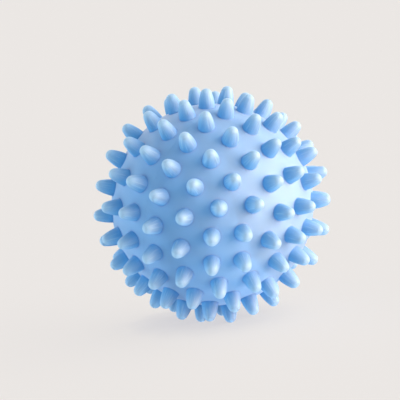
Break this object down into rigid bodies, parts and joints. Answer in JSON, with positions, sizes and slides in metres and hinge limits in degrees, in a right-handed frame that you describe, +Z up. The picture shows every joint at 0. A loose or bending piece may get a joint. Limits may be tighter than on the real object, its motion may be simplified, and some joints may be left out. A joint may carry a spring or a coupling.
{
  "type": "sensory ball",
  "caption": "Hollow soft ball covered in rows of blunt spikes, made of half shells joined at a seam, with a push-in air stopper at the back, for gripping, squeezing and rolling.",
  "frame": {"origin": "point on the floor straight below the ball's centre, with the ball standing on three spike tips", "axes": "+Z up; the picture looks along +Y, with +X to the right; the nose spike points to the front right and a little down, the valve to the back left and a little up"},
  "size_m": [0.0696, 0.0697, 0.0691],
  "materials": {
    "shell": "matte",
    "spikes": "matte",
    "seat": "satin",
    "stopper": "satin"
  },
  "bodies": {
    "ball": {"front_shell": "shell", "rear_shell": "shell", "nose_spike": "spikes", "front_spikes_1": "spikes", "front_spikes_2": "spikes", "front_spikes_3": "spikes", "front_spikes_4": "spikes", "front_spikes_5": "spikes", "rear_spikes_3": "spikes", "rear_spikes_4": "spikes", "rear_spikes_5": "spikes", "valve_seat": "seat"},
    "stopper": {"valve_stopper": "stopper"}
  },
  "joints": [
    {"name": "stopper_pull", "type": "slide", "parent": "ball", "child": "stopper", "axis": [-0.7212, 0.6425, 0.259], "range_m": [0, 0.018]}
  ]
}
